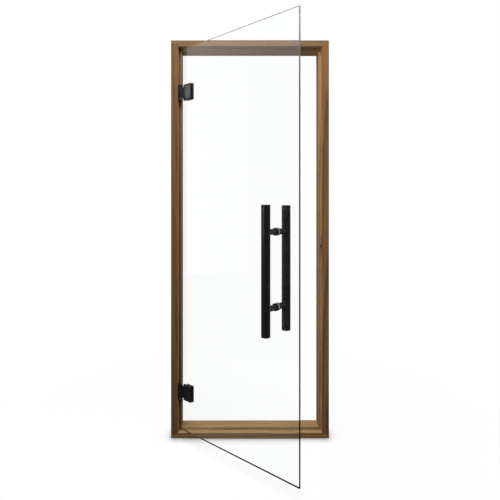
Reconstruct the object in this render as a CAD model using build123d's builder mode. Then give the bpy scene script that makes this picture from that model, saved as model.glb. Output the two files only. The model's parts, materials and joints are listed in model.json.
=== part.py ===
from build123d import *
from math import cos, hypot, radians, sin
import os

# A glass sauna door: a frameless glass leaf hung on two pinned clamp hinges in a rebated wooden frame.
# Millimetres. X runs to the latch side, Y runs from the room into the cabin, Z is up.
# The origin is on the underside of the sill, in the middle of its width and depth.

os.makedirs("parts", exist_ok=True)

# Wooden frame
frame_width = 790.0
frame_height = 1990.0
frame_depth = 97.0
jamb_face = 35.0
head_face = 31.0
sill_face = 28.0
rebate_depth = 30.0
jamb_stop = 14.0
head_stop = 13.0
sill_stop = 16.0
corner_tongue = 18.0
arris_radius = 2.0
stop_arris_radius = 0.8

# Seals in the stops
seal_width = 4.5
seal_height = 2.5
seal_lip_radius = 1.2
seal_root_width = 2.0
seal_root_depth = 5.0
seal_inset = 1.0

# Glass leaf
glass_thickness = 8.0
hinge_gap = 9.0
latch_gap = 7.0
head_gap = 8.0
sill_gap = 5.0
seal_clearance = 1.0
glass_bevel = 1.5
open_angle = 40.3

# Hinges
pin_inset = 15.0
pin_setback = 4.5
pin_radius = 4.0
pin_running_gap = 0.06
pin_head_radius = 5.5
pin_head_height = 1.5
knuckle_radius = 7.0
leaf_knuckle_height = 54.0
knuckle_seat_gap = 0.1
knuckle_top_gap = 0.6
thrust_washer_height = 1.2
hinge_height = 80.0
upper_hinge_drop = 261.0
lower_hinge_rise = 230.0
bracket_thickness = 4.0
bracket_depth = 26.0
bracket_arm_depth = 11.0
bracket_screw_radius = 2.6
bracket_head_radius = 5.0
bracket_screw_setback = 18.5
bracket_screw_spacing = 56.0
outer_clamp_start = 8.5
outer_clamp_end = 64.0
inner_clamp_start = 20.0
inner_clamp_end = 67.5
clamp_plate_thickness = 7.0
clamp_gasket_thickness = 1.5
clamp_gasket_inset = 1.0
clamp_bevel_depth = 2.2
clamp_bevel_run = 6.5
clamp_end_bevel_run = 2.5
clamp_screw_radius = 3.0
clamp_screw_head_radius = 5.0
clamp_screw_head_height = 3.2
clamp_screw_spacing = 44.0
clamp_screw_grip = 5.0
clamp_hole_radius = 7.0
fit_gap = 0.1

# Pull handle
handle_edge_distance = 117.0
handle_centre_height = 894.0
bar_length = 533.0
bar_radius = 19.0
bar_wall = 2.0
bar_end_thickness = 3.0
bar_end_bevel = 1.5
bar_offset = 72.0
standoff_spacing = 312.0
standoff_radius = 12.5
collar_radius = 16.5
collar_height = 7.0
collar_bevel = 1.2
washer_thickness = 2.0
washer_radius = 16.0
stud_radius = 4.0
stud_end = 6.0
handle_hole_radius = 7.0

# Catch
catch_height = 959.0
catch_setback = 19.0
catch_plate_height = 95.0
catch_plate_width = 20.0
catch_plate_thickness = 2.5
catch_case_height = 52.0
catch_case_width = 15.0
catch_case_depth = 20.0
catch_roller_radius = 5.5
catch_roller_height = 9.0
catch_roller_clearance = 1.0
catch_axle_radius = 1.5
catch_slider_length = 14.0
catch_slider_width = 8.0
catch_cheek = 2.4
catch_slot_gap = 0.5

# Places that follow from the sizes
frame_front = -frame_depth / 2
frame_back = frame_depth / 2
stop_face = frame_front + rebate_depth
half_width = frame_width / 2
wall_x = half_width - jamb_face
stop_x = wall_x - jamb_stop
head_rebate_z = frame_height - head_face
head_stop_z = head_rebate_z - head_stop
sill_stop_z = sill_face + sill_stop
jamb_bottom = corner_tongue
jamb_top = frame_height - corner_tongue
seal_low = sill_stop_z - seal_inset - seal_width
seal_high = head_stop_z + seal_inset + seal_width
seal_inner_x = stop_x + seal_inset

pin_x = -wall_x + pin_inset
pin_y = frame_front + pin_setback
upper_hinge_z = frame_height - upper_hinge_drop
lower_hinge_z = lower_hinge_rise

# The leaf's own places are measured from the pin line, with the leaf lying along its X.
glass_rear = stop_face - seal_height - seal_clearance - pin_y
glass_front = glass_rear - glass_thickness
glass_middle = (glass_rear + glass_front) / 2
glass_start = -wall_x + hinge_gap - pin_x
glass_end = wall_x - latch_gap - pin_x
glass_width = glass_end - glass_start
glass_bottom = sill_face + sill_gap
glass_top = head_rebate_z - head_gap
glass_height = glass_top - glass_bottom
outer_plate_rear = glass_front - clamp_gasket_thickness
outer_plate_front = outer_plate_rear - clamp_plate_thickness
inner_plate_front = glass_rear + clamp_gasket_thickness
inner_plate_rear = inner_plate_front + clamp_plate_thickness
clamp_screw_x = (inner_clamp_start + outer_clamp_end) / 2
handle_x = glass_end - handle_edge_distance
outer_bar_y = glass_middle - bar_offset
inner_bar_y = glass_middle + bar_offset

turn = radians(open_angle)
leaf = Plane(origin=(pin_x, pin_y, 0), x_dir=(cos(turn), -sin(turn), 0), z_dir=(0, 0, 1))


def member_section(outer, wall, stop):
    # A frame member's section: its width along the sketch's X, its depth along the sketch's Y.
    with BuildSketch() as section:
        with BuildLine():
            Polyline(
                (outer, frame_front),
                (wall, frame_front),
                (wall, stop_face),
                (stop, stop_face),
                (stop, frame_back),
                (outer, frame_back),
                close=True,
            )
        make_face()
        by_depth = section.vertices().sort_by(Axis.Y)
        fillet(by_depth[:2] + by_depth[-2:], radius=arris_radius)
        stop_corner = [
            v for v in section.vertices() if abs(v.X - stop) < 0.001 and abs(v.Y - stop_face) < 0.001
        ]
        fillet(stop_corner, radius=stop_arris_radius)
    return section.sketch


def seal_section(inner, outward):
    # A seal's section: a rounded lip in front of the stop's face and a root in its groove.
    middle = inner + outward * seal_width / 2
    with BuildSketch() as section:
        with Locations((middle, stop_face)):
            Rectangle(seal_width, seal_height, align=(Align.CENTER, Align.MAX))
            Rectangle(seal_root_width, seal_root_depth, align=(Align.CENTER, Align.MIN))
        fillet(section.vertices().sort_by(Axis.Y)[:2], radius=seal_lip_radius)
    return section.sketch


# Sections that run across are drawn in a plane whose X is the part's Z and whose Y is the part's Y.
across = Plane(origin=(half_width, 0, 0), x_dir=(0, 0, 1), z_dir=(-1, 0, 0))
across_seal = Plane(origin=(seal_inner_x, 0, 0), x_dir=(0, 0, 1), z_dir=(-1, 0, 0))
from_below = (Align.CENTER, Align.CENTER, Align.MIN)

# Jambs: rebated uprights between the head's and the sill's tongues
jamb_length = jamb_top - jamb_bottom
seal_length = seal_high - seal_low
hinge_jamb_section = member_section(-half_width, -wall_x, -stop_x)
with BuildPart() as hinge_jamb:
    with BuildSketch(Plane.XY.offset(jamb_bottom)):
        add(hinge_jamb_section)
    extrude(amount=jamb_length)
    with Locations((-seal_inner_x - seal_width / 2, stop_face, seal_low)):
        Box(
            seal_root_width,
            seal_root_depth,
            seal_length,
            align=(Align.CENTER, Align.MIN, Align.MIN),
            mode=Mode.SUBTRACT,
        )
hinge_jamb.part.label = "hinge_jamb"
export_step(hinge_jamb.part, "parts/hinge_jamb.step")

latch_jamb_section = member_section(half_width, wall_x, stop_x)
catch_y = frame_front + catch_setback
with BuildPart() as latch_jamb:
    with BuildSketch(Plane.XY.offset(jamb_bottom)):
        add(latch_jamb_section)
    extrude(amount=jamb_length)
    with Locations((seal_inner_x + seal_width / 2, stop_face, seal_low)):
        Box(
            seal_root_width,
            seal_root_depth,
            seal_length,
            align=(Align.CENTER, Align.MIN, Align.MIN),
            mode=Mode.SUBTRACT,
        )
    with Locations((wall_x, catch_y, catch_height)):
        Box(
            catch_plate_thickness,
            catch_plate_width,
            catch_plate_height,
            align=(Align.MIN, Align.CENTER, Align.CENTER),
            mode=Mode.SUBTRACT,
        )
        Box(
            catch_plate_thickness + catch_case_depth,
            catch_case_width,
            catch_case_height,
            align=(Align.MIN, Align.CENTER, Align.CENTER),
            mode=Mode.SUBTRACT,
        )
latch_jamb.part.label = "latch_jamb"
export_step(latch_jamb.part, "parts/latch_jamb.step")

# Head and sill run the full width and lap the jamb ends with a thin tongue.
for name, section, jamb_end, groove_z, jamb_side in (
    (
        "head",
        member_section(frame_height, head_rebate_z, head_stop_z),
        jamb_top,
        head_stop_z + seal_inset + seal_width / 2,
        Align.MAX,
    ),
    (
        "sill",
        member_section(0, sill_face, sill_stop_z),
        jamb_bottom,
        sill_stop_z - seal_inset - seal_width / 2,
        Align.MIN,
    ),
):
    with BuildPart() as member:
        with BuildSketch(across):
            add(section)
        extrude(amount=frame_width)
        with Locations((wall_x, 0, jamb_end), (-wall_x - 2 * jamb_face, 0, jamb_end)):
            Box(
                2 * jamb_face,
                2 * frame_depth,
                frame_height / 2,
                align=(Align.MIN, Align.CENTER, jamb_side),
                mode=Mode.SUBTRACT,
            )
        with Locations((stop_x, stop_face, jamb_end), (-stop_x - 2 * jamb_face, stop_face, jamb_end)):
            Box(
                2 * jamb_face,
                2 * frame_depth,
                frame_height / 2,
                align=(Align.MIN, Align.MIN, jamb_side),
                mode=Mode.SUBTRACT,
            )
        with Locations((0, stop_face, groove_z)):
            Box(
                2 * seal_inner_x,
                seal_root_depth,
                seal_root_width,
                align=(Align.CENTER, Align.MIN, Align.CENTER),
                mode=Mode.SUBTRACT,
            )
    member.part.label = name
    export_step(member.part, f"parts/{name}.step")

# Seals: two uprights, and one across the head and the sill between them
for name, section in (
    ("hinge_side_seal", seal_section(-seal_inner_x, -1)),
    ("latch_side_seal", seal_section(seal_inner_x, 1)),
):
    with BuildPart() as upright_seal:
        with BuildSketch(Plane.XY.offset(seal_low)):
            add(section)
        extrude(amount=seal_length)
    upright_seal.part.label = name
    export_step(upright_seal.part, f"parts/{name}.step")

for name, section in (
    ("head_seal", seal_section(head_stop_z + seal_inset, 1)),
    ("sill_seal", seal_section(sill_stop_z - seal_inset, -1)),
):
    with BuildPart() as cross_seal:
        with BuildSketch(across_seal):
            add(section)
        extrude(amount=2 * seal_inner_x)
        # The root stops at the jambs; the lip runs on to the upright seals.
        with Locations((stop_x, stop_face, 0), (-stop_x - 2 * jamb_face, stop_face, 0)):
            Box(
                2 * jamb_face,
                frame_depth,
                2 * frame_height,
                align=(Align.MIN, Align.MIN, Align.CENTER),
                mode=Mode.SUBTRACT,
            )
    cross_seal.part.label = name
    export_step(cross_seal.part, f"parts/{name}.step")

# Roller catch in the latch jamb: its roller stops just short of the glass edge's sweep.
glass_reach = pin_x + hypot(glass_end, glass_rear)
roller_x = glass_reach + catch_roller_clearance + catch_roller_radius
roller_pocket_height = catch_roller_height + 2 * catch_slot_gap
slider_height = roller_pocket_height + 2 * catch_cheek
slider_front = roller_x - 2 * catch_axle_radius
slot_width = 2 * (catch_roller_radius + catch_slot_gap)
slot_height = slider_height + 2 * catch_slot_gap
with BuildPart() as catch_plate:
    with Locations((wall_x, catch_y, catch_height)):
        Box(
            catch_plate_thickness,
            catch_plate_width,
            catch_plate_height,
            align=(Align.MIN, Align.CENTER, Align.CENTER),
        )
        Box(3 * catch_plate_thickness, slot_width, slot_height, mode=Mode.SUBTRACT)
catch_plate.part.label = "catch_plate"
export_step(catch_plate.part, "parts/catch_plate.step")

with BuildPart() as catch_case:
    with Locations((wall_x + catch_plate_thickness, catch_y, catch_height)):
        Box(
            catch_case_depth,
            catch_case_width,
            catch_case_height,
            align=(Align.MIN, Align.CENTER, Align.CENTER),
        )
    with Locations((slider_front, catch_y, catch_height)):
        Box(
            catch_slider_length + catch_slot_gap,
            catch_slider_width + 2 * catch_slot_gap,
            slot_height,
            align=(Align.MIN, Align.CENTER, Align.CENTER),
            mode=Mode.SUBTRACT,
        )
    with Locations((roller_x, catch_y, catch_height)):
        Cylinder(catch_roller_radius + catch_slot_gap, slot_height, mode=Mode.SUBTRACT)
catch_case.part.label = "catch_case"
export_step(catch_case.part, "parts/catch_case.step")

with BuildPart() as catch_slider:
    with Locations((slider_front, catch_y, catch_height)):
        Box(
            catch_slider_length,
            catch_slider_width,
            slider_height,
            align=(Align.MIN, Align.CENTER, Align.CENTER),
        )
    fillet(
        catch_slider.edges().filter_by(Axis.Z).group_by(Axis.X)[0], radius=catch_slider_width / 4
    )
    with Locations((roller_x, catch_y, catch_height)):
        Cylinder(
            catch_roller_radius + catch_slot_gap, roller_pocket_height, mode=Mode.SUBTRACT
        )
        Cylinder(catch_axle_radius + fit_gap, 2 * slider_height, mode=Mode.SUBTRACT)
catch_slider.part.label = "catch_slider"
export_step(catch_slider.part, "parts/catch_slider.step")

with BuildPart() as catch_roller:
    with Locations((roller_x, catch_y, catch_height)):
        Cylinder(catch_roller_radius, catch_roller_height)
        Cylinder(catch_axle_radius, slider_height)
catch_roller.part.label = "catch_roller"
export_step(catch_roller.part, "parts/catch_roller.step")

# Heights inside a hinge, measured from its middle
leaf_knuckle_top = leaf_knuckle_height / 2
leaf_knuckle_bottom = -leaf_knuckle_height / 2
lower_knuckle_top = leaf_knuckle_bottom - knuckle_seat_gap - thrust_washer_height
upper_knuckle_bottom = leaf_knuckle_top + knuckle_top_gap
bracket_knuckles = (
    (-hinge_height / 2, lower_knuckle_top),
    (upper_knuckle_bottom, hinge_height / 2),
)

for place, level in (("upper", upper_hinge_z), ("lower", lower_hinge_z)):
    # The jamb bracket: a plate on the rebate wall with an arm and a knuckle at each end.
    with BuildPart() as jamb_bracket:
        with Locations((-wall_x, frame_front, level)):
            Box(
                bracket_thickness,
                bracket_depth,
                hinge_height,
                align=(Align.MIN, Align.MIN, Align.CENTER),
            )
        for low, high in bracket_knuckles:
            with Locations((-wall_x, frame_front, level + low)):
                Box(
                    pin_inset,
                    bracket_arm_depth,
                    high - low,
                    align=(Align.MIN, Align.MIN, Align.MIN),
                )
            with Locations((pin_x, pin_y, level + low)):
                Cylinder(knuckle_radius, high - low, align=from_below)
        with Locations((pin_x, pin_y, level)):
            Cylinder(pin_radius + fit_gap / 2, 2 * hinge_height, mode=Mode.SUBTRACT)
        screw_x = -wall_x + bracket_thickness
        screw_y = frame_front + bracket_screw_setback
        for rise in (-bracket_screw_spacing / 2, bracket_screw_spacing / 2):
            with Locations(Plane(origin=(screw_x, screw_y, level + rise), z_dir=(1, 0, 0))):
                CounterSinkHole(bracket_screw_radius, bracket_head_radius, depth=bracket_thickness)
    jamb_bracket.part.label = f"{place}_jamb_bracket"
    export_step(jamb_bracket.part, f"parts/{place}_jamb_bracket.step")

    # The headed pin through all three knuckles
    with BuildPart() as hinge_pin:
        with Locations((pin_x, pin_y, level - hinge_height / 2)):
            Cylinder(pin_radius, hinge_height, align=from_below)
        with Locations((pin_x, pin_y, level + hinge_height / 2)):
            Cylinder(pin_head_radius, pin_head_height, align=from_below)
    hinge_pin.part.label = f"{place}_hinge_pin"
    export_step(hinge_pin.part, f"parts/{place}_hinge_pin.step")

    # The plain washer that carries the leaf's weight on the lower knuckle
    with BuildPart() as thrust_washer:
        with Locations((pin_x, pin_y, level + lower_knuckle_top)):
            Cylinder(knuckle_radius, thrust_washer_height, align=from_below)
            Cylinder(pin_radius + fit_gap / 2, 2 * thrust_washer_height, mode=Mode.SUBTRACT)
    thrust_washer.part.label = f"{place}_thrust_washer"
    export_step(thrust_washer.part, f"parts/{place}_thrust_washer.step")

# The leaf is drilled across each clamp and behind each handle standoff.
clamp_screw_heights = {
    f"{place}_clamp_{end}_screw": level + side * clamp_screw_spacing / 2
    for place, level in (("upper", upper_hinge_z), ("lower", lower_hinge_z))
    for end, side in (("top", 1), ("bottom", -1))
}
upper_standoff_z = handle_centre_height + standoff_spacing / 2
lower_standoff_z = handle_centre_height - standoff_spacing / 2
through = (90, 0, 0)

with BuildPart(leaf) as glass_pane:
    with Locations((glass_start, glass_front, glass_bottom)):
        Box(glass_width, glass_thickness, glass_height, align=(Align.MIN, Align.MIN, Align.MIN))
    chamfer(glass_pane.edges().filter_by(Axis.Z), length=glass_bevel)
    with Locations(*[(clamp_screw_x, glass_middle, z) for z in clamp_screw_heights.values()]):
        Cylinder(clamp_hole_radius, 2 * glass_thickness, rotation=through, mode=Mode.SUBTRACT)
    with Locations(
        (handle_x, glass_middle, upper_standoff_z), (handle_x, glass_middle, lower_standoff_z)
    ):
        Cylinder(handle_hole_radius, 2 * glass_thickness, rotation=through, mode=Mode.SUBTRACT)
glass_pane.part.label = "glass_pane"
export_step(glass_pane.part, "parts/glass_pane.step")

# Clamps: a plate and a gasket on each side of the glass
neck_end = outer_clamp_start + 2 * clamp_end_bevel_run
bevelled_height = hinge_height - 2 * clamp_bevel_run
for place, level in (("upper", upper_hinge_z), ("lower", lower_hinge_z)):
    screw_levels = (level + clamp_screw_spacing / 2, level - clamp_screw_spacing / 2)

    for side, plate_start, plate_end, inner_face, outward in (
        ("outer", outer_clamp_start, outer_clamp_end, outer_plate_rear, -1),
        ("inner", inner_clamp_start, inner_clamp_end, inner_plate_front, 1),
    ):
        plate_width = plate_end - plate_start
        plate_middle = (plate_end + plate_start) / 2
        on_glass = Plane(leaf * Plane((plate_middle, inner_face, level), (1, 0, 0), (0, outward, 0)))
        with BuildPart() as plate:
            with BuildSketch(on_glass):
                Rectangle(plate_width, hinge_height)
            extrude(amount=clamp_plate_thickness - clamp_bevel_depth)
            with BuildSketch(on_glass.offset(clamp_plate_thickness - clamp_bevel_depth)):
                Rectangle(plate_width, hinge_height)
            with BuildSketch(on_glass.offset(clamp_plate_thickness)):
                Rectangle(plate_width - 2 * clamp_end_bevel_run, bevelled_height)
            loft()
            if side == "outer":
                # The leaf's knuckle, on a neck between the bracket's two knuckles
                with BuildSketch(leaf.offset(level + leaf_knuckle_bottom)):
                    Circle(knuckle_radius)
                    with BuildLine():
                        Polyline(
                            (0, -knuckle_radius),
                            (neck_end, outer_plate_front),
                            (neck_end, outer_plate_rear),
                            (0, outer_plate_rear),
                            (-knuckle_radius, 0),
                            close=True,
                        )
                    make_face()
                extrude(amount=leaf_knuckle_height)
                with BuildSketch(leaf.offset(level + leaf_knuckle_bottom)):
                    Circle(pin_radius + pin_running_gap)
                extrude(amount=leaf_knuckle_height, mode=Mode.SUBTRACT)
            screw_grip = clamp_screw_grip if side == "outer" else clamp_plate_thickness
            drilled = Plane(leaf * Plane((clamp_screw_x, inner_face, level), (1, 0, 0), (0, outward, 0)))
            with BuildSketch(drilled):
                with GridLocations(0, clamp_screw_spacing, 1, 2):
                    Circle(clamp_screw_radius + fit_gap)
            extrude(amount=screw_grip, mode=Mode.SUBTRACT)
            if side == "inner":
                # The screw heads are let in.
                with BuildSketch(drilled.offset(clamp_plate_thickness)):
                    with GridLocations(0, clamp_screw_spacing, 1, 2):
                        Circle(clamp_screw_head_radius + fit_gap)
                extrude(amount=-clamp_screw_head_height, mode=Mode.SUBTRACT)
        plate.part.label = f"{place}_clamp_{side}_plate"
        export_step(plate.part, f"parts/{place}_clamp_{side}_plate.step")

    # The gaskets between the plates and the glass
    for side, gasket_start, gasket_end, gasket_front in (
        ("outer", outer_clamp_start, outer_clamp_end, outer_plate_rear),
        ("inner", inner_clamp_start, inner_clamp_end, glass_rear),
    ):
        with BuildPart(leaf) as gasket:
            with Locations(((gasket_end + gasket_start) / 2, gasket_front, level)):
                Box(
                    gasket_end - gasket_start - 2 * clamp_gasket_inset,
                    clamp_gasket_thickness,
                    hinge_height - 2 * clamp_gasket_inset,
                    align=(Align.CENTER, Align.MIN, Align.CENTER),
                )
            with Locations(*[(clamp_screw_x, gasket_front, z) for z in screw_levels]):
                Cylinder(
                    clamp_screw_radius + fit_gap,
                    4 * clamp_gasket_thickness,
                    rotation=through,
                    mode=Mode.SUBTRACT,
                )
        gasket.part.label = f"{place}_clamp_{side}_gasket"
        export_step(gasket.part, f"parts/{place}_clamp_{side}_gasket.step")

# Clamp screws run from the inner plate, through the glass, into the outer plate.
for name, height in clamp_screw_heights.items():
    with BuildPart(leaf) as clamp_screw:
        with Locations((clamp_screw_x, inner_plate_rear, height)):
            Cylinder(
                clamp_screw_head_radius, clamp_screw_head_height, rotation=through, align=from_below
            )
            Cylinder(
                clamp_screw_radius,
                inner_plate_rear - outer_plate_rear + clamp_screw_grip - fit_gap,
                rotation=through,
                align=from_below,
            )
    clamp_screw.part.label = name
    export_step(clamp_screw.part, f"parts/{name}.step")

# The pull handle: a bar, two standoffs and two clear washers on each side of the glass
for side, inward, bar_y, face in (
    ("outer", 1, outer_bar_y, glass_front),
    ("inner", -1, inner_bar_y, glass_rear),
):
    # A closed tube, drilled where the two studs enter it
    with BuildPart(leaf) as pull_bar:
        with Locations((handle_x, bar_y, handle_centre_height)):
            Cylinder(bar_radius, bar_length)
            chamfer(pull_bar.edges().filter_by(GeomType.CIRCLE), length=bar_end_bevel)
            Cylinder(
                bar_radius - bar_wall, bar_length - 2 * bar_end_thickness, mode=Mode.SUBTRACT
            )
        with Locations((handle_x, bar_y, upper_standoff_z), (handle_x, bar_y, lower_standoff_z)):
            Cylinder(
                stud_radius + fit_gap,
                2 * bar_radius,
                rotation=(-90 * inward, 0, 0),
                align=from_below,
                mode=Mode.SUBTRACT,
            )
    pull_bar.part.label = f"{side}_pull_bar"
    export_step(pull_bar.part, f"parts/{side}_pull_bar.step")

    for place, height in (("upper", upper_standoff_z), ("lower", lower_standoff_z)):
        # A turned post with a collar at the washer and a saddle that seats on the bar
        seat = face - inward * washer_thickness
        post = abs(seat - bar_y)
        on_bar = leaf.from_local_coords(Vector(handle_x, bar_y, height))
        with BuildPart(leaf) as standoff:
            with Locations(Location((handle_x, seat, height), (90 * inward, 0, 0))):
                Cylinder(collar_radius, collar_height, align=from_below)
                rims = standoff.edges().filter_by(GeomType.CIRCLE).sort_by_distance(on_bar)
                chamfer(rims[0], length=collar_bevel)
                Cylinder(standoff_radius, post, align=from_below)
                Cylinder(stud_radius + fit_gap, post, align=from_below, mode=Mode.SUBTRACT)
            with Locations((handle_x, bar_y, height)):
                Cylinder(bar_radius, 4 * standoff_radius, mode=Mode.SUBTRACT)
        standoff.part.label = f"{place}_{side}_standoff"
        export_step(standoff.part, f"parts/{place}_{side}_standoff.step")

        # A clear washer that keeps the collar off the glass
        with BuildPart(leaf) as washer:
            with Locations(Location((handle_x, face, height), (90 * inward, 0, 0))):
                Cylinder(washer_radius, washer_thickness, align=from_below)
                Cylinder(stud_radius + fit_gap, 4 * glass_thickness, mode=Mode.SUBTRACT)
        washer.part.label = f"{place}_{side}_washer"
        export_step(washer.part, f"parts/{place}_{side}_washer.step")

# The studs that tie both bars together through the glass
for place, height in (("upper", upper_standoff_z), ("lower", lower_standoff_z)):
    with BuildPart(leaf) as through_stud:
        with Locations((handle_x, glass_middle, height)):
            Cylinder(
                stud_radius,
                2 * (bar_offset - bar_radius + bar_wall + stud_end),
                rotation=through,
            )
    through_stud.part.label = f"{place}_through_stud"
    export_step(through_stud.part, f"parts/{place}_through_stud.step")
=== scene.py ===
# A glass sauna door, dressed for its picture. The solids come from the part, and this script gives them
# their finishes and small fastenings, and adds a studio floor, lamps and the camera.
# Metres. X runs to the latch side, Y runs from the room into the cabin, Z is up.
import json
import math

import bmesh
import bpy
from mathutils import Matrix, Vector


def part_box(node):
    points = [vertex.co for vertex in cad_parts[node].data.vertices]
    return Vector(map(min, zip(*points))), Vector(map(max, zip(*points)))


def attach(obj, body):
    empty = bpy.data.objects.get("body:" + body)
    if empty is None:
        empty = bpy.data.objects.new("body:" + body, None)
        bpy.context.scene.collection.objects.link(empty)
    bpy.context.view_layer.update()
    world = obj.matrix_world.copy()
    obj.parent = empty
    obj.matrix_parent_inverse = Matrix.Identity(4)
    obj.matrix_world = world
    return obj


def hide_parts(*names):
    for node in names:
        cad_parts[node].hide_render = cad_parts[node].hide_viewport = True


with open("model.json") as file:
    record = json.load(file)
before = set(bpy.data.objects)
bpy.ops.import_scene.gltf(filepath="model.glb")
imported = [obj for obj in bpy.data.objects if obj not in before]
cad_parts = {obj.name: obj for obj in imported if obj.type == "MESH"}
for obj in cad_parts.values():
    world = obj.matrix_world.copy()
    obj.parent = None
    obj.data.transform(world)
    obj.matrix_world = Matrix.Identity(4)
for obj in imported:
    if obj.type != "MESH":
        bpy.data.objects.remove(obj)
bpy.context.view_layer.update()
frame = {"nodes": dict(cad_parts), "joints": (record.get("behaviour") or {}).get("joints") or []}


def middle_height(node):
    """The height of the middle of a solid."""
    lowest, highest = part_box(node)
    return (lowest.z + highest.z) / 2


# Places read from the part
FRAME_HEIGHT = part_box("head")[1].z
HALF_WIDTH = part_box("head")[1].x
leaf_hinge = frame["joints"][0]
PIN = Vector((leaf_hinge["pos_m"][0], leaf_hinge["pos_m"][1], 0.0))
OPEN_ANGLE = math.radians(-leaf_hinge["range_deg"][0])
GLASS_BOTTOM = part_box("glass_pane")[0].z
GLASS_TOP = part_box("glass_pane")[1].z
HINGE_HEIGHTS = {place: middle_height(f"{place}_jamb_bracket") for place in ("upper", "lower")}
POST_HEIGHTS = {place: middle_height(f"{place}_outer_standoff") for place in ("upper", "lower")}
CATCH_HEIGHT = middle_height("catch_plate")

# Sizes repeated from the part's source
JAMB_FACE, JAMB_STOP = 0.035, 0.014
HEAD_FACE, HEAD_STOP = 0.031, 0.013
SILL_FACE, SILL_STOP = 0.028, 0.016
CORNER_TONGUE = 0.018
GLASS_END = 0.698
HANDLE_ALONG = 0.581


def linear(code, alpha=1.0):
    """A colour written as sRGB hex, in the linear values that a shader takes."""
    values = []
    for start in (1, 3, 5):
        part = int(code[start:start + 2], 16) / 255.0
        values.append(part / 12.92 if part <= 0.04045 else ((part + 0.055) / 1.055) ** 2.4)
    return (*values, alpha)


def grey(level):
    """A neutral colour of one linear level."""
    return (level, level, level, 1.0)


def add_node(tree, kind, inputs=None, stops=None, **settings):
    """Adds one node with its settings. Each input is a value or another node's output; stops fill a ramp."""
    made = tree.nodes.new(kind)
    for name, value in settings.items():
        setattr(made, name, value)
    for name, value in (inputs or {}).items():
        if isinstance(value, bpy.types.NodeSocket):
            tree.links.new(value, made.inputs[name])
        else:
            made.inputs[name].default_value = value
    if stops:
        ramp = made.color_ramp
        ramp.elements[0].position, ramp.elements[0].color = stops[0]
        ramp.elements[1].position, ramp.elements[1].color = stops[-1]
        for place, colour in stops[1:-1]:
            ramp.elements.new(place).color = colour
    return made


def new_material(name):
    """An empty material and its node tree."""
    material = bpy.data.materials.new(name)
    material.use_nodes = True
    material.node_tree.nodes.clear()
    return material, material.node_tree


def finish_with(tree, shader):
    """Sends a shader to the material's output."""
    add_node(tree, "ShaderNodeOutputMaterial", {"Surface": shader})


def rebate_faces(axis, outer_edge, face, stop, inwards):
    """Where a board's faces lie along the axis that crosses it: the rounded outer arris, the wall or floor
    of its rebate, and the inner face of its stop, the last two a hair inside the wood."""
    arris_start, arris_end = 0.003, 0.004
    behind_wall, behind_stop = 0.0003, 0.0002
    return {
        "axis": axis,
        "arris": (outer_edge + inwards * arris_end, outer_edge + inwards * arris_start),
        "wall": outer_edge + inwards * (face - behind_wall),
        "inner": outer_edge + inwards * (face + stop - behind_stop),
    }


def growth_rings(tree, board, pith, lean):
    """Growth rings 8 mm apart, rising slowly to the dark late wood. The heart of the log lies beside the
    board and leans a little, which draws the rings out into long lines and arches."""
    log = add_node(
        tree, "ShaderNodeMapping",
        {"Vector": board, "Location": (pith[0], pith[1], 0.0), "Rotation": (lean[0], lean[1], 0.0)},
    ).outputs["Vector"]
    drawn_out = add_node(
        tree, "ShaderNodeMapping", {"Vector": log, "Scale": (1.0, 1.0, 0.12)},
    ).outputs["Vector"]
    # A ring is 2 pi, and the texture counts 20 to the metre at a scale of 1.
    ring_spacing = 0.008
    return add_node(
        tree, "ShaderNodeTexWave",
        {"Vector": drawn_out, "Scale": 2 * math.pi / (20 * ring_spacing), "Distortion": 9.0, "Detail": 2.0,
         "Detail Scale": 0.10, "Detail Roughness": 0.45},
        wave_type="RINGS", rings_direction="Z", wave_profile="SAW",
    ).outputs["Color"]


def joint_lines(tree, place):
    """The shade of the open end grain where a jamb meets the head and the sill, which has drunk more oil:
    a dark line 1.5 mm wide."""
    joint, line = FRAME_HEIGHT / 2 - CORNER_TONGUE, 0.0015
    height = add_node(tree, "ShaderNodeSeparateXYZ", {"Vector": place}).outputs["Z"]
    from_middle = add_node(
        tree, "ShaderNodeMath", {0: height, 1: FRAME_HEIGHT / 2}, operation="SUBTRACT").outputs[0]
    reach = add_node(tree, "ShaderNodeMath", {0: from_middle}, operation="ABSOLUTE").outputs[0]
    return add_node(
        tree, "ShaderNodeMapRange",
        {"Value": reach, "From Min": joint - line, "From Max": joint, "To Min": 1.0, "To Max": 0.3},
    ).outputs["Result"]


def rebate_dryness_and_painted_light(tree, reach, faces, on_front, on_inner):
    """How dry the wood is across the board, from 0 to 1: most on the wall or floor of the rebate, less on the
    front of its stop and on the stop's inner face. The same mask also carries painted light on these faces."""
    over_stop = add_node(
        tree, "ShaderNodeMapRange", {"Value": reach, "From Min": faces["inner"], "From Max": faces["wall"]},
    ).outputs["Result"]
    return add_node(
        tree, "ShaderNodeValToRGB", {"Fac": over_stop},
        stops=[(0.0, grey(on_inner)), (0.02, grey(on_front)), (0.96, grey(on_front)), (0.972, grey(1.0)),
               (0.988, grey(1.0)), (1.0, grey(0.0))],
    ).outputs["Color"]


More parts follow.
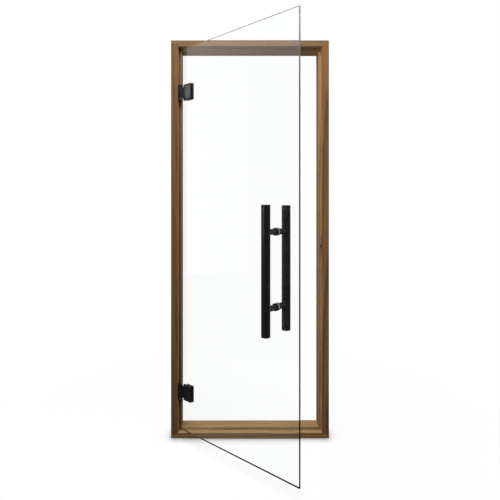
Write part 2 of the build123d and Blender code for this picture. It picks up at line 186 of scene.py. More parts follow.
def heat_treated_pine(board, grain, pith, lean, tints, faces, dry_and_painted_light, specular):
    """Heat-treated softwood, planed and oiled: warm brown, darker late rings that run along the board in long
    lines and open into arches, fine fibres, and a thin worn line on its rounded edges. The faces inside the
    rebate are left dry from the planer, so they are paler and dull, and they also carry painted light that
    brightens and pales them further. The outer arris carries painted shade."""
    material, tree = new_material(f"heat_treated_pine_{board}")
    place = add_node(tree, "ShaderNodeTexCoord").outputs["Object"]
    # The board's length becomes the patterns' Z.
    turn = (0.0, 0.0, 0.0) if grain == "Z" else (0.0, -math.pi / 2, 0.0)
    turned = add_node(tree, "ShaderNodeMapping", {"Vector": place, "Rotation": turn}).outputs["Vector"]
    rings = growth_rings(tree, turned, pith, lean)
    late_wood = add_node(
        tree, "ShaderNodeValToRGB", {"Fac": rings},
        stops=[(0.0, grey(0.0)), (0.45, grey(0.10)), (0.86, grey(1.0)), (0.97, grey(0.25)), (1.0, grey(0.0))],
    ).outputs["Color"]
    colour = add_node(
        tree, "ShaderNodeMix", {"Factor": late_wood, "A": linear(tints[0]), "B": linear(tints[1])},
        data_type="RGBA",
    ).outputs[2]
    # Fibres about 0.8 mm wide and 40 mm long, as coarse as they need to be to show
    fibre_place = add_node(
        tree, "ShaderNodeMapping", {"Vector": turned, "Scale": (1.0, 1.0, 0.02)}).outputs["Vector"]
    fibres = add_node(
        tree, "ShaderNodeTexNoise", {"Vector": fibre_place, "Scale": 1200.0, "Detail": 3.0, "Roughness": 0.6},
    ).outputs["Fac"]
    fibre_shade = add_node(
        tree, "ShaderNodeMapRange",
        {"Value": fibres, "From Min": 0.3, "From Max": 0.7, "To Min": 0.74, "To Max": 1.20},
    ).outputs["Result"]
    # Boards darken unevenly in the kiln, in streaks about 12 mm wide and 200 mm long.
    streak_place = add_node(
        tree, "ShaderNodeMapping", {"Vector": turned, "Scale": (1.0, 1.0, 0.06)}).outputs["Vector"]
    streaks = add_node(
        tree, "ShaderNodeTexNoise", {"Vector": streak_place, "Scale": 85.0, "Detail": 3.0, "Roughness": 0.55},
    ).outputs["Fac"]
    streak_shade = add_node(
        tree, "ShaderNodeMapRange",
        {"Value": streaks, "From Min": 0.3, "From Max": 0.7, "To Min": 0.66, "To Max": 1.26},
    ).outputs["Result"]
    shades = [fibre_shade, streak_shade]
    if grain == "Z":
        shades.append(joint_lines(tree, place))
    # Painted shade: the outer arris is darkened in a line 4 mm wide on the front, where its rounding turns
    # away from the lamps, and the side behind it is darkened with it.
    reach = add_node(tree, "ShaderNodeSeparateXYZ", {"Vector": place}).outputs[faces["axis"]]
    if faces["axis"] == "X":
        reach = add_node(tree, "ShaderNodeMath", {0: reach}, operation="ABSOLUTE").outputs[0]
    shades.append(add_node(
        tree, "ShaderNodeMapRange",
        {"Value": reach, "From Min": faces["arris"][0], "From Max": faces["arris"][1], "To Min": 1.0,
         "To Max": 0.88},
    ).outputs["Result"])
    # Dry wood is brighter, and paler towards a straw colour. Part of this lift and paling is painted light:
    # it stands in for the light and the grazing sheen on the rebate's faces.
    dryness_and_painted_light = rebate_dryness_and_painted_light(tree, reach, faces, dry_and_painted_light["front"], dry_and_painted_light["inner"])
    shades.append(add_node(
        tree, "ShaderNodeMapRange", {"Value": dryness_and_painted_light, "To Min": 1.0, "To Max": dry_and_painted_light["lift"]},
    ).outputs["Result"])
    for shade in shades:
        colour = add_node(
            tree, "ShaderNodeVectorMath", {0: colour, "Scale": shade}, operation="SCALE").outputs["Vector"]
    paler = add_node(
        tree, "ShaderNodeMapRange", {"Value": dryness_and_painted_light, "To Min": 0.0, "To Max": dry_and_painted_light["paling"]},
    ).outputs["Result"]
    colour = add_node(
        tree, "ShaderNodeMix", {"Factor": paler, "A": colour, "B": linear("#9c8668")}, data_type="RGBA",
    ).outputs[2]
    # Planed edges wear paler where hands and towels touch them.
    bend = add_node(tree, "ShaderNodeNewGeometry").outputs["Pointiness"]
    worn = add_node(
        tree, "ShaderNodeMapRange",
        {"Value": bend, "From Min": 0.53, "From Max": 0.60, "To Min": 0.0, "To Max": 0.18},
    ).outputs["Result"]
    colour = add_node(
        tree, "ShaderNodeMix", {"Factor": worn, "A": colour, "B": linear("#b08a62")}, data_type="RGBA",
    ).outputs[2]
    oiled_roughness = add_node(
        tree, "ShaderNodeMapRange",
        {"Value": fibres, "From Min": 0.3, "From Max": 0.7, "To Min": 0.70, "To Max": 0.54},
    ).outputs["Result"]
    roughness = add_node(
        tree, "ShaderNodeMix", {"Factor": dryness_and_painted_light, "A": oiled_roughness, "B": 0.95}, data_type="FLOAT",
    ).outputs[0]
    relief = add_node(
        tree, "ShaderNodeMath", {0: fibres, 1: rings, 2: 0.4}, operation="MULTIPLY_ADD").outputs[0]
    bump = add_node(
        tree, "ShaderNodeBump", {"Height": relief, "Strength": 0.45, "Distance": 0.00025}).outputs["Normal"]
    finish_with(tree, add_node(
        tree, "ShaderNodeBsdfPrincipled",
        {"Base Color": colour, "Roughness": roughness, "IOR": 1.47, "Specular IOR Level": specular,
         "Normal": bump},
    ).outputs["BSDF"])
    return material


def ground_band(tree, own):
    """Where the pane shows its ground edge instead of clear glass: a narrow band at the foot, the top and the
    free side, as 1 or 0. On the pane's faces the band is a painted image of the dark edge seen through the
    glass."""
    foot_band, top_band, side_band = 0.004, 0.0009, 0.0028
    along = add_node(tree, "ShaderNodeSeparateXYZ", {"Vector": own}).outputs
    foot = add_node(
        tree, "ShaderNodeMath", {0: along["Z"], 1: GLASS_BOTTOM + foot_band}, operation="LESS_THAN",
    ).outputs[0]
    top = add_node(
        tree, "ShaderNodeMath", {0: along["Z"], 1: GLASS_TOP - top_band}, operation="GREATER_THAN",
    ).outputs[0]
    side = add_node(
        tree, "ShaderNodeMath", {0: along["X"], 1: GLASS_END - side_band}, operation="GREATER_THAN",
    ).outputs[0]
    ends = add_node(tree, "ShaderNodeMath", {0: foot, 1: top}, operation="MAXIMUM").outputs[0]
    return add_node(tree, "ShaderNodeMath", {0: ends, 1: side}, operation="MAXIMUM").outputs[0]


def polished_edge(tree, own):
    """The pane's ground and polished edge: deep sea green with slight grinding lines. It is painted dark at
    the foot and paler towards the top, as painted shade and light from above, and beside the hinge jamb it
    carries a painted image of the wood behind it."""
    along = add_node(tree, "ShaderNodeSeparateXYZ", {"Vector": own}).outputs
    height = add_node(
        tree, "ShaderNodeMapRange", {"Value": along["Z"], "From Min": GLASS_BOTTOM, "From Max": GLASS_TOP},
    ).outputs["Result"]
    # Painted light and shade: darker at the foot, paler towards the top
    green = add_node(
        tree, "ShaderNodeValToRGB", {"Fac": height},
        stops=[(0.0, linear("#141a1a")), (0.35, linear("#16292a")), (0.8, linear("#3c4a47")),
               (1.0, linear("#8b918d"))],
    ).outputs["Color"]
    # Painted image of the wood behind the edge, beside the hinge jamb
    wood_start, wood_end = 0.10, 0.17
    painted_wood_image = add_node(
        tree, "ShaderNodeMapRange",
        {"Value": along["X"], "From Min": wood_start, "From Max": wood_end, "To Min": 0.9, "To Max": 0.0},
    ).outputs["Result"]
    tint = add_node(
        tree, "ShaderNodeMix", {"Factor": painted_wood_image, "A": green, "B": linear("#8a745a")}, data_type="RGBA",
    ).outputs[2]
    # Grinding lines about 1 mm apart
    lines = add_node(
        tree, "ShaderNodeTexNoise", {"Vector": own, "Scale": 900.0, "Detail": 2.0, "Roughness": 0.5},
    ).outputs["Fac"]
    roughness = add_node(
        tree, "ShaderNodeMapRange", {"Value": lines, "To Min": 0.12, "To Max": 0.30}).outputs["Result"]
    return add_node(
        tree, "ShaderNodeBsdfPrincipled",
        {"Base Color": tint, "Roughness": roughness, "IOR": 1.52, "Specular IOR Level": 0.2},
    ).outputs["BSDF"]


def toughened_glass():
    """Clear toughened float glass with polished edges: almost no colour through its face, and the deep
    sea green of an edge that light has crossed the whole pane to reach."""
    material, tree = new_material("clear_toughened_glass")
    place = add_node(tree, "ShaderNodeTexCoord").outputs["Object"]
    # Into the leaf's own directions: X along the glass from the pin, Y through it
    own = add_node(
        tree, "ShaderNodeMapping",
        {"Vector": place, "Location": PIN, "Rotation": (0.0, 0.0, -OPEN_ANGLE)}, vector_type="TEXTURE",
    ).outputs["Vector"]
    # Roller waves from the toughening oven, about 300 mm apart, too slight to see but in the reflections
    waves = add_node(
        tree, "ShaderNodeTexNoise", {"Vector": own, "Scale": 3.0, "Detail": 1.0, "Roughness": 0.4},
    ).outputs["Fac"]
    bump = add_node(
        tree, "ShaderNodeBump", {"Height": waves, "Strength": 0.1, "Distance": 0.0002}).outputs["Normal"]
    clear = add_node(
        tree, "ShaderNodeBsdfPrincipled",
        {"Base Color": linear("#feffff"), "Roughness": 0.0, "IOR": 1.52, "Transmission Weight": 1.0,
         "Normal": bump},
    ).outputs["BSDF"]
    glass = add_node(
        tree, "ShaderNodeMixShader", {0: ground_band(tree, own), 1: clear, 2: polished_edge(tree, own)},
    ).outputs["Shader"]
    # Lamps shine through the pane instead of being stopped by it.
    let_through = add_node(tree, "ShaderNodeBsdfTransparent", {"Color": linear("#f0f5f2")}).outputs["BSDF"]
    shadow = add_node(tree, "ShaderNodeLightPath").outputs["Is Shadow Ray"]
    finish_with(tree, add_node(
        tree, "ShaderNodeMixShader", {0: shadow, 1: glass, 2: let_through}).outputs["Shader"])
    return material


def powder_coat(name, tints, roughness, specular):
    """Black powder coat baked on metal: an even satin with a very fine orange peel, a little duller where
    it has been handled."""
    material, tree = new_material(name)
    place = add_node(tree, "ShaderNodeTexCoord").outputs["Object"]
    # Orange peel 1.2 mm across
    peel = add_node(
        tree, "ShaderNodeTexNoise", {"Vector": place, "Scale": 850.0, "Detail": 2.0, "Roughness": 0.5},
    ).outputs["Fac"]
    # Patches of handling about 35 mm across
    handling = add_node(
        tree, "ShaderNodeTexNoise", {"Vector": place, "Scale": 30.0, "Detail": 3.0, "Roughness": 0.6},
    ).outputs["Fac"]
    colour = add_node(
        tree, "ShaderNodeMix", {"Factor": handling, "A": linear(tints[0]), "B": linear(tints[1])},
        data_type="RGBA",
    ).outputs[2]
    satin = add_node(
        tree, "ShaderNodeMapRange",
        {"Value": handling, "From Min": 0.3, "From Max": 0.7, "To Min": roughness - 0.04,
         "To Max": roughness + 0.05},
    ).outputs["Result"]
    bump = add_node(
        tree, "ShaderNodeBump", {"Height": peel, "Strength": 0.25, "Distance": 0.00006}).outputs["Normal"]
    finish_with(tree, add_node(
        tree, "ShaderNodeBsdfPrincipled",
        {"Base Color": colour, "Roughness": satin, "IOR": 1.5, "Specular IOR Level": specular,
         "Normal": bump},
    ).outputs["BSDF"])
    return material


def brushed_metal(name, tints, roughness):
    """Turned or brushed steel: grey metal with fine tool lines that soften its reflections."""
    material, tree = new_material(name)
    place = add_node(tree, "ShaderNodeTexCoord").outputs["Object"]
    # Tool lines 0.4 mm apart, drawn coarser than the real 0.1 mm so that they show
    drawn = add_node(
        tree, "ShaderNodeMapping", {"Vector": place, "Scale": (1.0, 1.0, 0.15)}).outputs["Vector"]
    lines = add_node(
        tree, "ShaderNodeTexNoise", {"Vector": drawn, "Scale": 2500.0, "Detail": 2.0, "Roughness": 0.6},
    ).outputs["Fac"]
    colour = add_node(
        tree, "ShaderNodeMix", {"Factor": lines, "A": linear(tints[0]), "B": linear(tints[1])},
        data_type="RGBA",
    ).outputs[2]
    sheen = add_node(
        tree, "ShaderNodeMapRange",
        {"Value": lines, "From Min": 0.3, "From Max": 0.7, "To Min": roughness - 0.05,
         "To Max": roughness + 0.08},
    ).outputs["Result"]
    bump = add_node(
        tree, "ShaderNodeBump", {"Height": lines, "Strength": 0.2, "Distance": 0.00003}).outputs["Normal"]
    finish_with(tree, add_node(
        tree, "ShaderNodeBsdfPrincipled",
        {"Base Color": colour, "Metallic": 1.0, "Roughness": sheen, "Normal": bump},
    ).outputs["BSDF"])
    return material


def rubber(name, tints, roughness, grit):
    """Moulded or cut rubber: soft, dull, faintly mottled, with no clear highlight. The grit is the size of
    the mottling."""
    material, tree = new_material(name)
    place = add_node(tree, "ShaderNodeTexCoord").outputs["Object"]
    mottle = add_node(
        tree, "ShaderNodeTexNoise", {"Vector": place, "Scale": 1.0 / grit, "Detail": 3.0, "Roughness": 0.6},
    ).outputs["Fac"]
    colour = add_node(
        tree, "ShaderNodeMix", {"Factor": mottle, "A": linear(tints[0]), "B": linear(tints[1])},
        data_type="RGBA",
    ).outputs[2]
    bump = add_node(
        tree, "ShaderNodeBump", {"Height": mottle, "Strength": 0.3, "Distance": 0.00008}).outputs["Normal"]
    finish_with(tree, add_node(
        tree, "ShaderNodeBsdfPrincipled",
        {"Base Color": colour, "Roughness": roughness, "IOR": 1.45, "Specular IOR Level": 0.35,
         "Normal": bump},
    ).outputs["BSDF"])
    return material


def clear_plastic():
    """Clear moulded plastic: glassy and a little milky, so that the washers show as pale rings."""
    material, tree = new_material("clear_moulded_plastic")
    place = add_node(tree, "ShaderNodeTexCoord").outputs["Object"]
    # Haze in flecks about 2.5 mm across
    haze = add_node(
        tree, "ShaderNodeTexNoise", {"Vector": place, "Scale": 400.0, "Detail": 2.0, "Roughness": 0.5},
    ).outputs["Fac"]
    roughness = add_node(
        tree, "ShaderNodeMapRange", {"Value": haze, "To Min": 0.10, "To Max": 0.22}).outputs["Result"]
    finish_with(tree, add_node(
        tree, "ShaderNodeBsdfPrincipled",
        {"Base Color": linear("#dfe2e0"), "Roughness": roughness, "IOR": 1.49, "Transmission Weight": 0.7},
    ).outputs["BSDF"])
    return material


# Each board's own timber: the place of its log's heart and how it leans, its early and late wood, how much
# brighter and paler it is where it is dry, partly as painted light, and how dry the front and the inner face
# of its stop are.
jamb_faces = rebate_faces("X", HALF_WIDTH, JAMB_FACE, JAMB_STOP, -1)
head_faces = rebate_faces("Z", FRAME_HEIGHT, HEAD_FACE, HEAD_STOP, -1)
sill_faces = rebate_faces("Z", 0.0, SILL_FACE, SILL_STOP, 1)
wood = {
    "hinge_jamb": heat_treated_pine(
        "hinge_jamb", grain="Z", pith=(0.352, 0.125), lean=(0.010, 0.006), tints=("#573819", "#261406"),
        faces=jamb_faces, dry_and_painted_light={"lift": 5.6, "paling": 0.45, "front": 0.14, "inner": 0.05}, specular=0.20),
    "latch_jamb": heat_treated_pine(
        "latch_jamb", grain="Z", pith=(-0.398, 0.120), lean=(-0.009, 0.008), tints=("#724c2a", "#321b0b"),
        faces=jamb_faces, dry_and_painted_light={"lift": 3.1, "paling": 0.45, "front": 0.80, "inner": 0.08}, specular=0.12),
    "head": heat_treated_pine(
        "head", grain="X", pith=(2.07, 0.110), lean=(0.008, 0.012), tints=("#705536", "#372416"),
        faces=head_faces, dry_and_painted_light={"lift": 1.9, "paling": 0.35, "front": 0.80, "inner": 0.90}, specular=0.26),
    "sill": heat_treated_pine(
        "sill", grain="X", pith=(0.05, 0.090), lean=(-0.010, 0.010), tints=("#98754f", "#573c24"),
        faces=sill_faces, dry_and_painted_light={"lift": 1.9, "paling": 0.30, "front": 0.70, "inner": 0.78}, specular=0.05),
}
glass = toughened_glass()
handle_coat = powder_coat("satin_black_powder_coat_handle", ("#171717", "#1f1f1f"), 0.21, 0.11)
hinge_coat = powder_coat("satin_black_powder_coat_hinge", ("#131314", "#1b1b1c"), 0.38, 0.17)
stainless = brushed_metal("turned_stainless_steel", ("#8d8d8a", "#a3a3a0"), 0.30)
bronzed = brushed_metal("bronzed_steel", ("#3a332c", "#4a4138"), 0.38)
blackened = brushed_metal("blackened_steel", ("#0d0c0b", "#1a1714"), 0.50)
seal_rubber = rubber("fawn_silicone_seal", ("#857257", "#947f61"), 0.55, grit=0.002)
gasket_rubber = rubber("black_sheet_rubber", ("#0c0c0c", "#161616"), 0.80, grit=0.0012)
washer_plastic = clear_plastic()


def finish_of(node):
    """The material that a solid wears, from its name."""
    if node in wood:
        return wood[node]
    if node == "glass_pane":
        return glass
    if node.endswith("_seal"):
        return seal_rubber
    if node.endswith("gasket"):
        return gasket_rubber
    if node.endswith(("outer_washer", "inner_washer")):
        return washer_plastic
    if node in ("catch_roller", "catch_slider"):
        return blackened
    if node.startswith("catch"):
        return bronzed
    if "bar" in node or "standoff" in node:
        return handle_coat
    if "plate" in node or "bracket" in node:
        return hinge_coat
    return stainless


for name, solid in frame["nodes"].items():
    finish = finish_of(name)
    if not solid.data.materials:
        solid.data.materials.append(finish)
    for held in solid.material_slots:
        held.material = finish


def make_piece(name, form, body, finish, turn):
    """Turns a finished form into a piece in its place, with its normals outwards, that rides on a body."""
    bmesh.ops.transform(form, matrix=turn, verts=form.verts)
    bmesh.ops.recalc_face_normals(form, faces=form.faces)
    mesh = bpy.data.meshes.new(name)
    form.to_mesh(mesh)
    form.free()
    mesh.materials.append(finish)
    piece = bpy.data.objects.new(name, mesh)
    bpy.context.scene.collection.objects.link(piece)
    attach(piece, body)
    return piece


def facing(place, direction):
    """The matrix that stands a form made round Z at a place, with its top towards a direction."""
    return Matrix.Translation(place) @ Vector(direction).to_track_quat("Z", "Y").to_matrix().to_4x4()


def on_leaf(along, depth, height):
    """A place on the leaf: along the glass from the pin, through it, and up."""
    cos, sin = math.cos(OPEN_ANGLE), math.sin(OPEN_ANGLE)
    return Vector((PIN.x + along * cos + depth * sin, PIN.y - along * sin + depth * cos, height))


def extrude_loop(form, loop):
    """Draws a closed loop of edges out into a new wall, and returns the new loop's corners and edges."""
    drawn = bmesh.ops.extrude_edge_only(form, edges=loop)["geom"]
    corners = [item for item in drawn if isinstance(item, bmesh.types.BMVert)]
    edges = [item for item in drawn if isinstance(item, bmesh.types.BMEdge)]
    return corners, [line for line in edges if all(corner in corners for corner in line.verts)]


def socket_screw(radius, neck_radius, head_depth, length, socket_radius, socket_depth, edge):
    """A screw whose head lies flush at Z 0, with a six-sided socket in it and its shank below."""
    form = bmesh.new()
    crown = bmesh.ops.create_circle(form, segments=40, radius=radius - edge)["verts"]
    socket = bmesh.ops.create_circle(form, segments=6, radius=socket_radius)["verts"]
    crown_loop = [line for line in form.edges if line.verts[0] in crown]
    socket_loop = [line for line in form.edges if line.verts[0] in socket]
    bmesh.ops.bridge_loops(form, edges=crown_loop + socket_loop)
    # Down into the socket
    corners, floor_loop = extrude_loop(form, socket_loop)
    bmesh.ops.translate(form, verts=corners, vec=(0.0, 0.0, -socket_depth))
    bmesh.ops.edgeloop_fill(form, edges=floor_loop)
    # Over the broken edge, down the head and along the shank
    loop, last_radius = crown_loop, radius - edge
    head_side, shank = (neck_radius, head_depth - edge), (neck_radius, length - head_depth)
    for next_radius, drop in ((radius, edge), head_side, shank):
        corners, loop = extrude_loop(form, loop)
        growth = next_radius / last_radius
        bmesh.ops.scale(form, verts=corners, vec=(growth, growth, 1.0))
        bmesh.ops.translate(form, verts=corners, vec=(0.0, 0.0, -drop))
        last_radius = next_radius
    bmesh.ops.edgeloop_fill(form, edges=loop)
    return form


# The door's screws
BRACKET_SCREW = {"radius": 0.0048, "neck_radius": 0.0024, "head_depth": 0.0026, "length": 0.016,
                 "socket_radius": 0.0020, "socket_depth": 0.0016, "edge": 0.0002}
CLAMP_SCREW = {"radius": 0.0049, "neck_radius": 0.0029, "head_depth": 0.0031, "length": 0.020,
               "socket_radius": 0.0026, "socket_depth": 0.0022, "edge": 0.0004}
PIN_GRUB_SCREW = {"radius": 0.0022, "neck_radius": 0.0022, "head_depth": 0.0010, "length": 0.003,
                  "socket_radius": 0.0011, "socket_depth": 0.0008, "edge": 0.0003}
PLATE_SCREW = {"radius": 0.0036, "neck_radius": 0.0018, "head_depth": 0.0020, "length": 0.012,
               "socket_radius": 0.0015, "socket_depth": 0.0012, "edge": 0.0002}
POST_GRUB_SCREW = {"radius": 0.0020, "neck_radius": 0.0020, "head_depth": 0.0010, "length": 0.005,
                   "socket_radius": 0.0010, "socket_depth": 0.0008, "edge": 0.0002}


def add_hinge_screws(hinge, level):
    """One hinge's two bracket screws, its two clamp screws, and the grub screw that locks its pin."""
    bracket_face, bracket_line, bracket_rise = -0.35615, -0.0300, 0.028
    clamp_along, clamp_face, clamp_rise = 0.042, 0.03035, 0.022
    grub_place = (-0.3505, -0.0500, level - 0.0335)
    into_cabin = on_leaf(0.0, 1.0, 0.0) - on_leaf(0.0, 0.0, 0.0)
    for end, way in (("top", 1), ("bottom", -1)):
        make_piece(
            f"{hinge}_bracket_{end}_screw", socket_screw(**BRACKET_SCREW), "frame", stainless,
            facing((bracket_face, bracket_line, level + way * bracket_rise), (1.0, 0.0, 0.0)))
        screw = make_piece(
            f"{hinge}_clamp_{end}_socket_screw", socket_screw(**CLAMP_SCREW), "leaf", stainless,
            facing(on_leaf(clamp_along, clamp_face, level + way * clamp_rise), into_cabin))
        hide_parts(f"{hinge}_clamp_{end}_screw")
    make_piece(
        f"{hinge}_pin_grub_screw", socket_screw(**PIN_GRUB_SCREW), "frame", stainless,
        facing(grub_place, (0.0, -1.0, 0.0)))


def add_catch_screws():
    """The countersunk screws above and below the catch's roller."""
    plate_face, plate_line, screw_rise = 0.35990, -0.0295, 0.036
    for end, way in (("top", 1), ("bottom", -1)):
        make_piece(
            f"catch_plate_{end}_screw", socket_screw(**PLATE_SCREW), "frame", bronzed,
            facing((plate_face, plate_line, CATCH_HEIGHT + way * screw_rise), (-1.0, 0.0, 0.0)))


def add_post_screws(pair, height):
    """The grub screws under one pair of handle posts, which lock them on their stud."""
    post_underside = 0.0124
    for side, depth in (("outer", -0.015), ("inner", 0.051)):
        make_piece(
            f"{pair}_{side}_post_grub_screw", socket_screw(**POST_GRUB_SCREW), "leaf", stainless,
            facing(on_leaf(HANDLE_ALONG, depth, height - post_underside), (0.0, 0.0, -1.0)))


for hinge, level in HINGE_HEIGHTS.items():
    add_hinge_screws(hinge, level)
add_catch_screws()
for pair, height in POST_HEIGHTS.items():
    add_post_screws(pair, height)


def gathered_shade(tree, place):
    """The shade that gathers close under the sill and the leaf: full at the sill, and a third of it under
    the rest of the leaf and beside the jambs."""
    corner = add_node(tree, "ShaderNodeAmbientOcclusion", {"Distance": 0.055}, samples=16).outputs["AO"]
    for axis, start, end in (("Y", 0.08, 0.16), ("X", 0.38, 0.42)):
        apart = add_node(tree, "ShaderNodeSeparateXYZ", {"Vector": place}).outputs[axis]
        apart = add_node(tree, "ShaderNodeMath", {0: apart}, operation="ABSOLUTE").outputs[0]
        weaker = add_node(
            tree, "ShaderNodeMapRange",
            {"Value": apart, "From Min": start, "From Max": end, "To Min": 0.0, "To Max": 0.65},
        ).outputs["Result"]
        corner = add_node(
            tree, "ShaderNodeMix", {"Factor": weaker, "A": corner, "B": 1.0}, data_type="FLOAT").outputs[0]
    return add_node(
        tree, "ShaderNodeMapRange", {"Value": corner, "From Min": 0.35, "To Min": 0.14, "To Max": 0.92},
    ).outputs["Result"]


def near_brightness(tree, path):
    """How bright the near floor looks: white to the camera and straight through the pane, and faint in
    reflections. Light that the pane's far face throws back also leaves it as a transmission ray, and it is
    left out. What the pane takes from the rest is made up."""
    in_gloss, made_up = 0.08, 1.07
    mirrored = add_node(
        tree, "ShaderNodeMath", {0: path["Is Glossy Ray"], 1: in_gloss}, operation="MULTIPLY").outputs[0]
    seen = add_node(
        tree, "ShaderNodeMath", {0: path["Is Camera Ray"], 1: mirrored}, operation="MAXIMUM").outputs[0]
    straight = add_node(
        tree, "ShaderNodeMath", {0: path["Is Transmission Ray"], 1: path["Glossy Depth"]},
        operation="SUBTRACT",
    ).outputs[0]
    through = add_node(tree, "ShaderNodeMath", {0: straight, 1: made_up}, operation="MULTIPLY").outputs[0]
    return add_node(tree, "ShaderNodeMath", {0: seen, 1: through}, operation="MAXIMUM").outputs[0]


def far_brightness(tree, path):
    """How bright the far floor looks. It is dimmer in the pane, so that no hard line marks where the floor
    ends and the walls begin."""
    in_gloss = 0.35
    mirrored = add_node(
        tree, "ShaderNodeMath", {0: path["Is Glossy Ray"], 1: in_gloss}, operation="MULTIPLY").outputs[0]
    seen = add_node(
        tree, "ShaderNodeMath", {0: path["Is Camera Ray"], 1: mirrored}, operation="MAXIMUM").outputs[0]
    seen = add_node(
        tree, "ShaderNodeMath", {0: seen, 1: path["Is Transmission Ray"]}, operation="MAXIMUM").outputs[0]
    return add_node(
        tree, "ShaderNodeMapRange", {"Value": seen, "To Min": 0.05, "To Max": 1.0}).outputs["Result"]


def white_floor_paint():
    """White studio paper: it shows the door's own shadow close to it and fades into the background."""
    material, tree = new_material("white_studio_floor")
    place = add_node(tree, "ShaderNodeTexCoord").outputs["Object"]
    path = add_node(tree, "ShaderNodeLightPath").outputs
    shadow = gathered_shade(tree, place)
    near = add_node(
        tree, "ShaderNodeMath", {0: near_brightness(tree, path), 1: shadow}, operation="MULTIPLY").outputs[0]
    paint = add_node(tree, "ShaderNodeBsdfDiffuse", {"Color": grey(0.08)}).outputs["BSDF"]
    glow = add_node(tree, "ShaderNodeEmission", {"Color": grey(1.0), "Strength": near}).outputs["Emission"]
    lit = add_node(tree, "ShaderNodeAddShader", {0: paint, 1: glow}).outputs["Shader"]
    white = add_node(
        tree, "ShaderNodeEmission", {"Color": grey(1.0), "Strength": far_brightness(tree, path)},
    ).outputs["Emission"]
    fade_start, fade_end = 0.75, 1.5
    reach = add_node(tree, "ShaderNodeVectorMath", {0: place}, operation="LENGTH").outputs["Value"]
    fade = add_node(
        tree, "ShaderNodeMapRange", {"Value": reach, "From Min": fade_start, "From Max": fade_end},
    ).outputs["Result"]
    finish_with(tree, add_node(tree, "ShaderNodeMixShader", {0: fade, 1: lit, 2: white}).outputs["Shader"])
    return material


def lay_floor():
    """A plain pale floor under the door."""
    half_side = 6.0
    mesh = bpy.data.meshes.new("studio_floor")
    form = bmesh.new()
    bmesh.ops.create_grid(form, x_segments=1, y_segments=1, size=half_side)
    form.to_mesh(mesh)
    form.free()
    mesh.materials.append(white_floor_paint())
    floor = bpy.data.objects.new("studio_floor", mesh)
    bpy.context.scene.collection.objects.link(floor)


def light_world():
    """A plain soft world: white to the camera and through the pane, and faint as light. In reflections it is
    white at the sides and overhead, and dimmer towards the room and the cabin, as between two grey walls."""
    world = bpy.data.worlds.new("white_studio")
    bpy.context.scene.world = world
    world.use_nodes = True
    tree = world.node_tree
    tree.nodes.clear()
    path = add_node(tree, "ShaderNodeLightPath").outputs
    direction = add_node(tree, "ShaderNodeTexCoord").outputs["Generated"]
    towards = add_node(tree, "ShaderNodeSeparateXYZ", {"Vector": direction}).outputs
    across = add_node(
        tree, "ShaderNodeMapRange", {"Value": towards["Y"], "From Min": -1.0, "From Max": 1.0},
    ).outputs["Result"]
    walls = add_node(
        tree, "ShaderNodeValToRGB", {"Fac": across},
        stops=[(0.37, grey(0.30)), (0.48, grey(1.0)), (0.62, grey(1.0)), (0.80, grey(0.45))],
    ).outputs["Color"]
    ceiling = add_node(
        tree, "ShaderNodeMapRange", {"Value": towards["Z"], "From Min": 0.28, "From Max": 0.40},
    ).outputs["Result"]
    bright = add_node(tree, "ShaderNodeMath", {0: walls, 1: ceiling}, operation="MAXIMUM").outputs[0]
    mirrored = add_node(
        tree, "ShaderNodeMath", {0: path["Is Glossy Ray"], 1: bright}, operation="MULTIPLY").outputs[0]
    seen = add_node(
        tree, "ShaderNodeMath", {0: path["Is Camera Ray"], 1: mirrored}, operation="MAXIMUM").outputs[0]
    seen = add_node(
        tree, "ShaderNodeMath", {0: seen, 1: path["Is Transmission Ray"]}, operation="MAXIMUM").outputs[0]
    strength = add_node(
        tree, "ShaderNodeMapRange", {"Value": seen, "To Min": 0.05, "To Max": 1.0}).outputs["Result"]
    sky = add_node(
        tree, "ShaderNodeBackground", {"Color": grey(1.0), "Strength": strength}).outputs["Background"]
    add_node(tree, "ShaderNodeOutputWorld", {"Surface": sky})


def add_softbox(name, place, aim, size, power, mirrored):
    """A rectangular lamp that faces a point. One that isn't mirrored leaves no bright square in the pane."""
    lamp = bpy.data.lights.new(name, "AREA")
    lamp.shape = "RECTANGLE"
    lamp.size, lamp.size_y = size
    lamp.energy = power
    box = bpy.data.objects.new(name, lamp)
    bpy.context.scene.collection.objects.link(box)
    box.location = place
    box.rotation_euler = (Vector(aim) - Vector(place)).to_track_quat("-Z", "Y").to_euler()
    box.visible_camera = False
    box.visible_transmission = False
    box.visible_glossy = mirrored


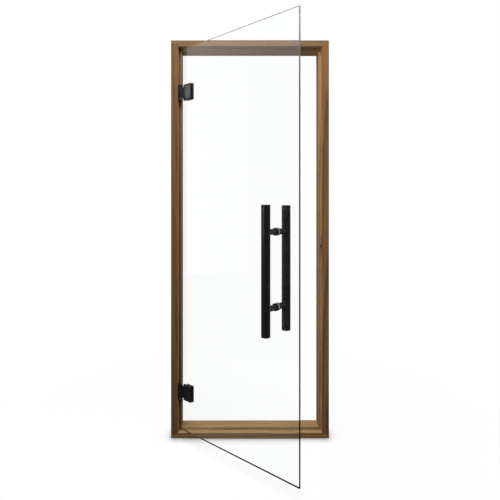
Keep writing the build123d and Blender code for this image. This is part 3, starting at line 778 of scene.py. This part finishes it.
def keep_out_of_pane(lamp_name):
    """Stops a lamp from lighting the pane, where its mirror image would stand as a white patch."""
    kept_out = bpy.data.collections.new(f"kept_out_of_{lamp_name}")
    kept_out.objects.link(frame["nodes"]["glass_pane"])
    bpy.data.objects[lamp_name].light_linking.receiver_collection = kept_out
    kept_out.collection_objects[0].light_linking.link_state = "EXCLUDE"


def place_camera():
    """Level, a little above the handle, with the lens and shift that the door's edges in the photograph
    give."""
    lens = bpy.data.cameras.new("camera")
    lens.lens = 30.29
    lens.sensor_width = 36.0
    lens.shift_y = -0.0758
    camera = bpy.data.objects.new("camera", lens)
    bpy.context.scene.collection.objects.link(camera)
    camera.location = (0.0, -2.1515, 1.131)
    camera.rotation_euler = (math.pi / 2, 0.0, 0.0)
    bpy.context.scene.camera = camera


# Each lamp's place, the point it faces, its width and height, its watts, and whether it shows in reflections
SOFTBOXES = {
    "front_softbox": ((0.1, -2.3, 3.3), (0.0, 0.0, 1.7), (1.4, 1.0), 37.0, True),
    "top_softbox": ((0.0, -0.9, 2.9), (0.0, 0.0, 1.6), (1.0, 0.4), 17.0, False),
    "overhead_softbox": ((0.0, 0.5, 3.6), (0.0, 0.0, 0.0), (1.4, 0.6), 30.0, False),
    "cabin_fill": ((0.0, 1.6, 1.3), (0.0, 0.0, 1.8), (1.2, 1.0), 8.0, False),
    "left_softbox": ((-2.6, 0.14, 2.4), (-0.31, -0.07, 1.73), (0.36, 0.5), 14.0, True),
    "upper_left_softbox": ((-1.0, -1.0, 2.6), (-0.38, -0.05, 1.9), (0.4, 0.3), 6.0, False),
    "low_left_softbox": ((-1.9, -0.5, 0.75), (0.36, -0.02, 0.8), (0.5, 1.1), 4.7, False),
    "low_right_softbox": ((1.9, -0.35, 0.9), (-0.36, -0.02, 0.9), (0.5, 1.1), 6.5, False),
    "side_strip": ((-1.65, -1.55, 1.35), (0.05, -0.45, 1.1), (0.16, 0.9), 14.0, True),
}

lay_floor()
light_world()
for name, settings in SOFTBOXES.items():
    add_softbox(name, *settings)
keep_out_of_pane("side_strip")
place_camera()
bpy.context.scene.view_settings.view_transform = "Standard"
